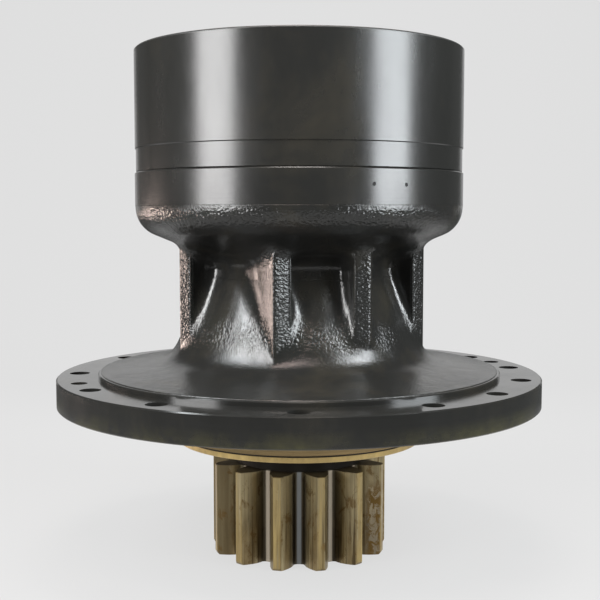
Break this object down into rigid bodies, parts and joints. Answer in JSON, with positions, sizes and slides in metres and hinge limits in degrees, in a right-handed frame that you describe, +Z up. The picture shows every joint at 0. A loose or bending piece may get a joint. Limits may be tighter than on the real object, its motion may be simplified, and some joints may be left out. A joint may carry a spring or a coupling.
{
  "type": "swing gearbox",
  "caption": "Swing gearbox: ribbed black casing with a wide bolted flange, two planetary stages under an open motor face, and an output pinion below.",
  "frame": {"origin": "on the gearbox's axis, at the flange's seating face", "axes": "+Z up along the axis from the output pinion to the motor face; -Y is the front, towards the camera of the picture; +X to the right"},
  "size_m": [0.425, 0.425, 0.4385],
  "materials": {
    "casing_paint": "semi-gloss black paint, bumpy where cast",
    "ring_paint": "semi-gloss black paint on turned steel",
    "oiled_steel": "turned steel under brown protective oil",
    "pinion_steel": "ground steel, oily, with brown stains",
    "gear_steel": "ground steel, lightly oiled",
    "machined_steel": "turned steel",
    "bearing_steel": "ground and polished",
    "spring_steel": "phosphated spring steel",
    "dark_screws": "black oxide",
    "carrier_iron": "machined ductile iron",
    "cage_brass": "turned brass",
    "bronze": "turned bronze",
    "seal_rubber": "matt nitrile rubber"
  },
  "bodies": {
    "housing": {"casing": "casing_paint", "ring_gear": "ring_paint", "ring_screws": "dark_screws", "ring_dowels": "bearing_steel", "joint_seal": "seal_rubber", "lower_bearing_outer": "bearing_steel", "upper_bearing_outer": "bearing_steel", "seal_cover": "oiled_steel", "cover_screws": "dark_screws", "oil_seal": "seal_rubber"},
    "output": {"pinion_shaft": "pinion_steel", "lower_bearing_inner": "bearing_steel", "upper_bearing_inner": "bearing_steel", "bearing_spacer": "machined_steel", "lock_nut": "machined_steel", "shaft_retainer": "machined_steel", "retainer_screws": "dark_screws", "carrier_2": "carrier_iron", "stage_2_pins": "bearing_steel", "stage_2_washers": "bronze"},
    "planet_2_a": {"planet_2_a": "gear_steel"},
    "planet_2_b": {"planet_2_b": "gear_steel"},
    "planet_2_c": {"planet_2_c": "gear_steel"},
    "stage_1": {"carrier_1": "carrier_iron", "sun_2": "gear_steel", "stage_1_pins": "bearing_steel", "stage_1_washers": "bronze", "snap_rings": "spring_steel", "thrust_button": "bronze"},
    "planet_1_a": {"planet_1_a": "gear_steel"},
    "planet_1_b": {"planet_1_b": "gear_steel"},
    "planet_1_c": {"planet_1_c": "gear_steel"},
    "sun_1": {"sun_1": "gear_steel"},
    "lower_rollers": {"lower_bearing_rollers": "bearing_steel", "lower_bearing_cage": "cage_brass"},
    "upper_rollers": {"upper_bearing_rollers": "bearing_steel", "upper_bearing_cage": "cage_brass"}
  },
  "joints": [
    {"name": "output_spin", "type": "hinge", "parent": "housing", "child": "output", "pos_m": [0, 0, 0], "axis": [0, 0, 1], "continuous": true},
    {"name": "planet_2_a_spin", "type": "hinge", "parent": "output", "child": "planet_2_a", "pos_m": [0, 0.078, 0.2238], "axis": [0, 0, 1], "continuous": true},
    {"name": "planet_2_b_spin", "type": "hinge", "parent": "output", "child": "planet_2_b", "pos_m": [-0.06755, -0.039, 0.2238], "axis": [0, 0, 1], "continuous": true},
    {"name": "planet_2_c_spin", "type": "hinge", "parent": "output", "child": "planet_2_c", "pos_m": [0.06755, -0.039, 0.2238], "axis": [0, 0, 1], "continuous": true},
    {"name": "stage_1_spin", "type": "hinge", "parent": "housing", "child": "stage_1", "pos_m": [0, 0, 0.263], "axis": [0, 0, 1], "continuous": true},
    {"name": "planet_1_a_spin", "type": "hinge", "parent": "stage_1", "child": "planet_1_a", "pos_m": [0, 0.072, 0.2808], "axis": [0, 0, 1], "continuous": true},
    {"name": "planet_1_b_spin", "type": "hinge", "parent": "stage_1", "child": "planet_1_b", "pos_m": [-0.06235, -0.036, 0.2808], "axis": [0, 0, 1], "continuous": true},
    {"name": "planet_1_c_spin", "type": "hinge", "parent": "stage_1", "child": "planet_1_c", "pos_m": [0.06235, -0.036, 0.2808], "axis": [0, 0, 1], "continuous": true},
    {"name": "input_spin", "type": "hinge", "parent": "housing", "child": "sun_1", "pos_m": [0, 0, 0.283], "axis": [0, 0, 1], "continuous": true},
    {"name": "lower_roller_spin", "type": "hinge", "parent": "housing", "child": "lower_rollers", "pos_m": [0, 0, 0.008], "axis": [0, 0, 1], "continuous": true},
    {"name": "upper_roller_spin", "type": "hinge", "parent": "housing", "child": "upper_rollers", "pos_m": [0, 0, 0.1405], "axis": [0, 0, 1], "continuous": true}
  ],
  "couplings": [
    {"joint": "planet_2_a_spin", "follows": "output_spin", "ratio": -3.1667},
    {"joint": "planet_2_b_spin", "follows": "output_spin", "ratio": -3.1667},
    {"joint": "planet_2_c_spin", "follows": "output_spin", "ratio": -3.1667},
    {"joint": "stage_1_spin", "follows": "output_spin", "ratio": 3.7143},
    {"joint": "planet_1_a_spin", "follows": "output_spin", "ratio": -10.082},
    {"joint": "planet_1_b_spin", "follows": "output_spin", "ratio": -10.082},
    {"joint": "planet_1_c_spin", "follows": "output_spin", "ratio": -10.082},
    {"joint": "input_spin", "follows": "output_spin", "ratio": 17.829},
    {"joint": "lower_roller_spin", "follows": "output_spin", "ratio": 0.463},
    {"joint": "upper_roller_spin", "follows": "output_spin", "ratio": 0.4645}
  ]
}
